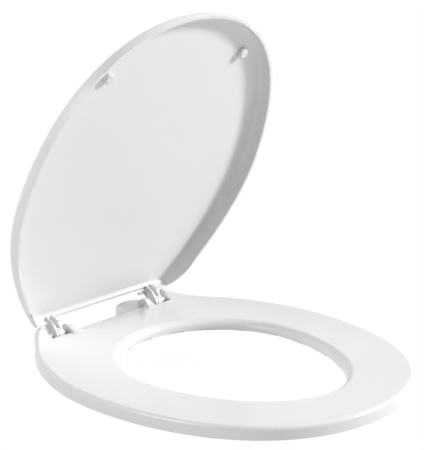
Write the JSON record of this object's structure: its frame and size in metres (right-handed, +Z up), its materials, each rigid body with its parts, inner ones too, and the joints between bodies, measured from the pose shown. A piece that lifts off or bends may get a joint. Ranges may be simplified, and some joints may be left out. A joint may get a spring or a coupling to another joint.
{
  "type": "toilet seat with lid",
  "caption": "Egg-shaped toilet seat ring with a shallow hinged lid, moulded plastic hinges on round feet, soft buffers and fixings for the pan.",
  "frame": {"origin": "on top of the pan, midway between the two fixing bolts", "axes": "+Z up, +X to the right of a person facing the pan, -Y to the front of the seat"},
  "size_m": [0.368, 0.4472, 0.4265],
  "materials": {
    "white_plastic": "glossy moulded white",
    "soft_white": "soft satin",
    "soft_grey": "soft matt",
    "nylon": "satin moulded"
  },
  "bodies": {
    "mounting": {"hinge_foot_left": "white_plastic", "hinge_foot_right": "white_plastic", "hinge_pin_left": "nylon", "hinge_pin_right": "nylon", "foot_gasket_left": "soft_grey", "foot_gasket_right": "soft_grey", "fixing_bolt_left": "nylon", "fixing_bolt_right": "nylon", "cone_washer_left": "soft_grey", "cone_washer_right": "soft_grey", "wing_nut_left": "nylon", "wing_nut_right": "nylon"},
    "seat": {"seat": "white_plastic", "seat_buffer_front_left": "soft_white", "seat_buffer_front_right": "soft_white", "seat_buffer_rear_left": "soft_white", "seat_buffer_rear_right": "soft_white"},
    "lid": {"lid": "white_plastic", "lid_buffer_left": "soft_white", "lid_buffer_right": "soft_white"}
  },
  "joints": [
    {"name": "seat_lift", "type": "hinge", "parent": "mounting", "child": "seat", "pos_m": [0, -0.015, 0.019], "axis": [-1, 0, 0], "range_deg": [0, 25]},
    {"name": "lid_tilt", "type": "hinge", "parent": "seat", "child": "lid", "pos_m": [0, -0.015, 0.019], "axis": [-1, 0, 0], "range_deg": [-67.2, 22.8]}
  ]
}
